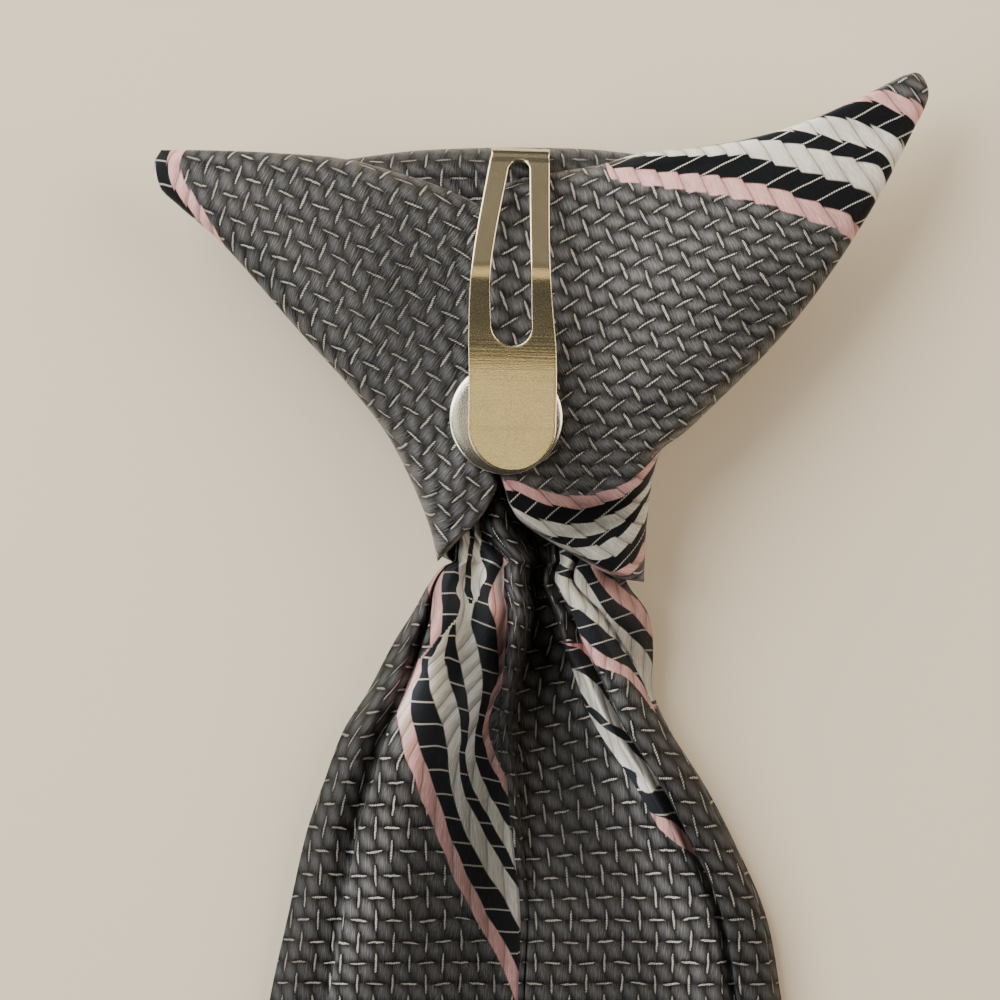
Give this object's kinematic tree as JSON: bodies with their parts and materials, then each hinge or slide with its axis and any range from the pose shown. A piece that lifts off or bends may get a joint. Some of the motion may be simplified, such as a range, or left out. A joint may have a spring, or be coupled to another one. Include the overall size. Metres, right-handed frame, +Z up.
{
  "type": "clip-on necktie",
  "caption": "Clip-on necktie lying face down: ready-made padded knot with two collar wings, spring clip with pressure disc on the back, and a pleated folded blade with a pointed end.",
  "frame": {"origin": "middle of the tie's footprint on the surface it lies on", "axes": "+Y from the blade's point towards the knot, +Z up off the surface towards the clip, +X to the right seen from above"},
  "size_m": [0.0988, 0.499, 0.0173],
  "materials": {
    "tie_cloth": "charcoal satin weave with silver dashes and diagonal pink, black and white stripes",
    "clip_metal": "nickel-plated spring steel, bright with fine scratches",
    "disc_metal": "polished nickel plate"
  },
  "bodies": {
    "root": {"knot_front": "tie_cloth", "left_wing": "tie_cloth", "right_wing": "tie_cloth", "blade": "tie_cloth", "clip": "clip_metal", "clip_disc": "disc_metal"}
  },
  "joints": []
}
